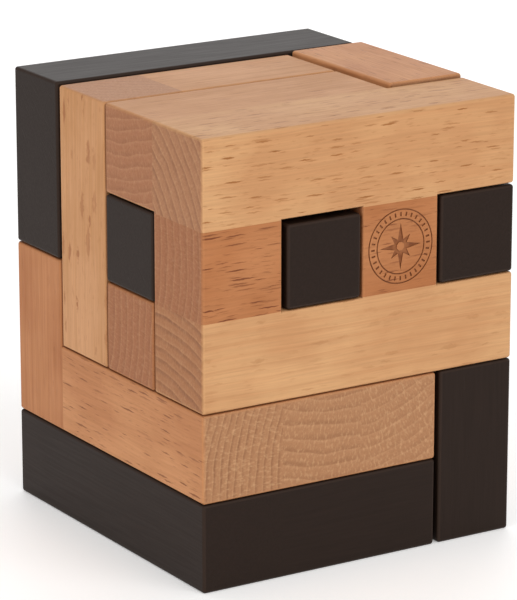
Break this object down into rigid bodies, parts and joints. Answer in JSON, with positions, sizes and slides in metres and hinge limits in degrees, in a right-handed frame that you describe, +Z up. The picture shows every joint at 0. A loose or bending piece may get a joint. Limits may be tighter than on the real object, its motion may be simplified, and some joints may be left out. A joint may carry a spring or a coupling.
{
  "type": "interlocking block puzzle",
  "caption": "Desk-top interlocking wooden block puzzle: natural and black-stained beech pieces that slide apart along three axes.",
  "frame": {"origin": "middle of the underside of the closed block", "axes": "+Z up, the long way of the block; -Y towards the front face, the one with the round emblem; +X to the right along that face"},
  "size_m": [0.064, 0.0648, 0.0806],
  "materials": {
    "natural_beech": "sanded and oiled, satin",
    "black_stained_beech": "black stain under satin lacquer"
  },
  "bodies": {
    "base": {"base_left_rail": "black_stained_beech", "base_front_stick": "black_stained_beech", "base_middle_stick": "black_stained_beech", "base_rear_stick": "black_stained_beech", "base_corner_post": "black_stained_beech"},
    "corner_lock": {"corner_lock_post": "black_stained_beech", "corner_lock_sill": "black_stained_beech", "corner_lock_tongue": "black_stained_beech"},
    "tray": {"tray_left_rail": "natural_beech", "tray_front_spacer": "natural_beech", "tray_right_rail": "natural_beech", "tray_rear_spacer": "natural_beech", "tray_post": "natural_beech", "tray_side_stick": "natural_beech"},
    "core": {"core_left_post": "natural_beech", "core_top_rail": "natural_beech", "core_bottom_rail": "natural_beech", "core_leg": "natural_beech", "core_rear_rail": "natural_beech", "core_rear_block": "natural_beech"},
    "key": {"key_bolt": "natural_beech", "key_web": "natural_beech", "key_head": "natural_beech", "key_heel_block": "natural_beech"},
    "back_bar": {"back_bar_rail": "black_stained_beech", "back_bar_left_block": "black_stained_beech", "back_bar_finger": "black_stained_beech"},
    "comb": {"comb_spine": "black_stained_beech", "comb_middle_finger": "black_stained_beech", "comb_right_finger": "black_stained_beech", "comb_rear_finger": "black_stained_beech"},
    "front_frame": {"front_frame_top_rail": "natural_beech", "front_frame_left_block": "natural_beech", "front_frame_emblem_block": "natural_beech", "front_frame_bottom_rail": "natural_beech", "front_frame_back_rail": "natural_beech"}
  },
  "joints": [
    {"name": "corner_lock_slide", "type": "slide", "parent": "base", "child": "corner_lock", "axis": [1, 0, 0], "range_m": [0, 0.04]},
    {"name": "tray_lift", "type": "slide", "parent": "base", "child": "tray", "axis": [0, 0, 1], "range_m": [0, 0.04]},
    {"name": "core_lift", "type": "slide", "parent": "tray", "child": "core", "axis": [0, 0, 1], "range_m": [0, 0.04]},
    {"name": "key_slide", "type": "slide", "parent": "core", "child": "key", "axis": [1, 0, 0], "range_m": [0, 0.072]},
    {"name": "back_bar_slide", "type": "slide", "parent": "core", "child": "back_bar", "axis": [0, 1, 0], "range_m": [0, 0.04]},
    {"name": "comb_slide", "type": "slide", "parent": "core", "child": "comb", "axis": [0, -1, 0], "range_m": [0, 0.056]},
    {"name": "front_frame_slide", "type": "slide", "parent": "comb", "child": "front_frame", "axis": [0, -1, 0], "range_m": [0, 0.04]}
  ]
}
